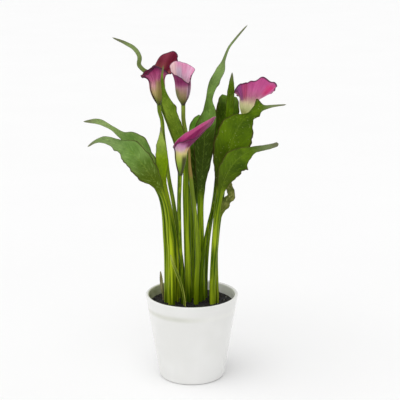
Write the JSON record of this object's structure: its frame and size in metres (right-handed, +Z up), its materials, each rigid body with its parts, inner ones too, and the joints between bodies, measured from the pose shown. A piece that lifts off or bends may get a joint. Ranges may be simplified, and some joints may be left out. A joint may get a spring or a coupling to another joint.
{
  "type": "potted calla lily",
  "caption": "Potted calla lily with purple-pink funnel flowers and long green leaves in a straight-tapered white glazed pot of soil.",
  "frame": {"origin": "centre of the pot's flat underside, on the surface it stands on", "axes": "+Z up along the pot's axis, -Y towards the plant's front, +X to the right seen from the front"},
  "size_m": [0.2751, 0.1534, 0.4926],
  "materials": {
    "glazed_white": "glossy white glaze",
    "soil": "rough, dark and damp",
    "leaf_green": "smooth, slightly waxy leaf",
    "stem_green": "smooth, fleshy stem",
    "spathe_purple": "satin petal",
    "spadix_yellow": "fine granular, matte",
    "dry_bract": "dry, papery"
  },
  "bodies": {
    "root": {"bract_left": "dry_bract", "flower_1_spadix": "spadix_yellow", "flower_1_spathe": "spathe_purple", "flower_1_stem": "stem_green", "flower_2_spadix": "spadix_yellow", "flower_2_spathe": "spathe_purple", "flower_2_stem": "stem_green", "flower_3_spadix": "spadix_yellow", "flower_3_spathe": "spathe_purple", "flower_3_stem": "stem_green", "flower_4_spadix": "spadix_yellow", "flower_4_spathe": "spathe_purple", "flower_4_stem": "stem_green", "leaf_broad_left_back": "leaf_green", "leaf_broad_left_front": "leaf_green", "leaf_broad_right_lower": "leaf_green", "leaf_broad_right_upper": "leaf_green", "leaf_centre_back": "leaf_green", "leaf_centre_left": "leaf_green", "leaf_curled": "leaf_green", "leaf_right_back": "leaf_green", "leaf_rolled": "leaf_green", "leaf_short_left": "leaf_green", "leaf_tall_left": "leaf_green", "leaf_tall_right": "leaf_green", "pot": "glazed_white", "shoot_front": "leaf_green", "soil": "soil"}
  },
  "joints": []
}
